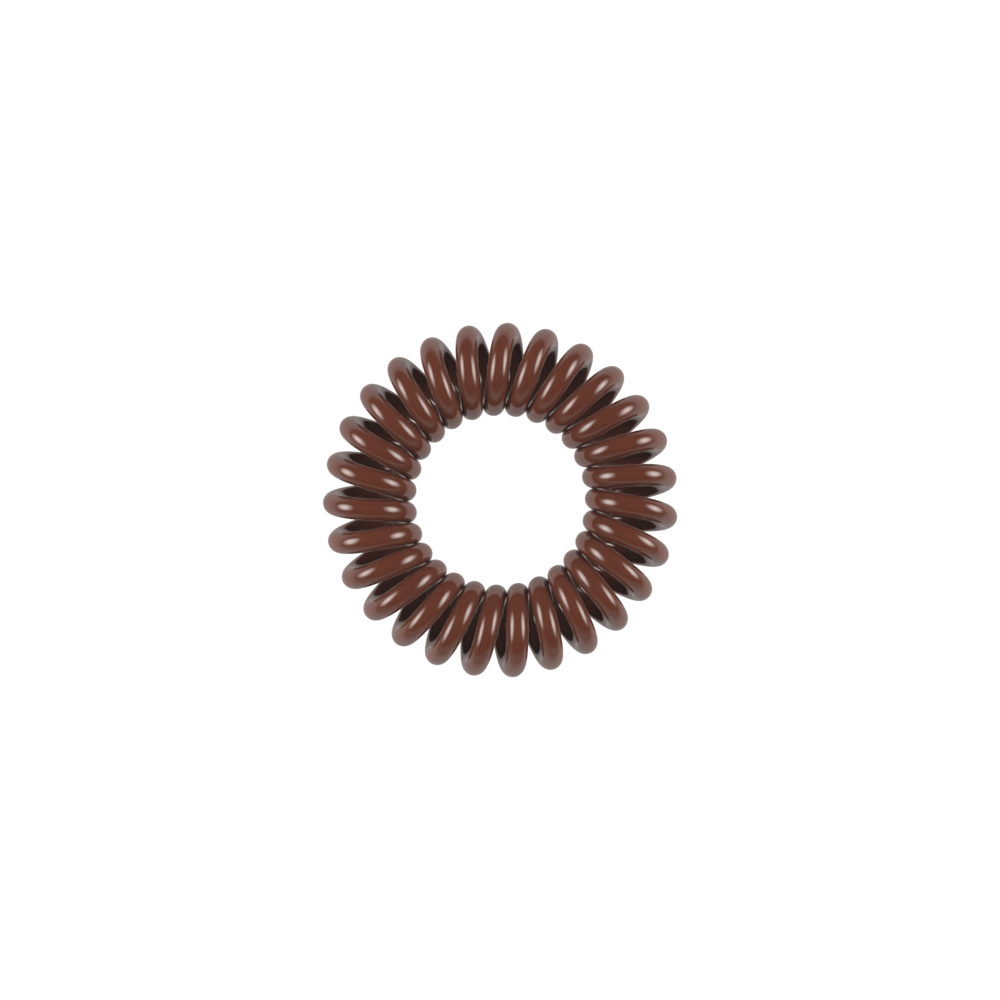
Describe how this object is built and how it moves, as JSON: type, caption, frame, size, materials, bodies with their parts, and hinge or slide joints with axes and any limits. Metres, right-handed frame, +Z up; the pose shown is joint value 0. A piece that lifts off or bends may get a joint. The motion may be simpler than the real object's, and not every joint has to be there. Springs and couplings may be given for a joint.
{
  "type": "spiral hair tie",
  "caption": "Endless coil of springy soft plastic cord that stretches over a bunch of hair, wraps round it and grips it.",
  "frame": {"origin": "centre of the ring, on the surface that it lies on", "axes": "+Z up along the ring's axis, through the hole that the hair goes through; +X through the outermost point of one turn"},
  "size_m": [0.0379, 0.038, 0.01],
  "materials": {
    "cord_plastic": "gloss"
  },
  "bodies": {
    "root": {"coiled_cord": "cord_plastic"}
  },
  "joints": []
}
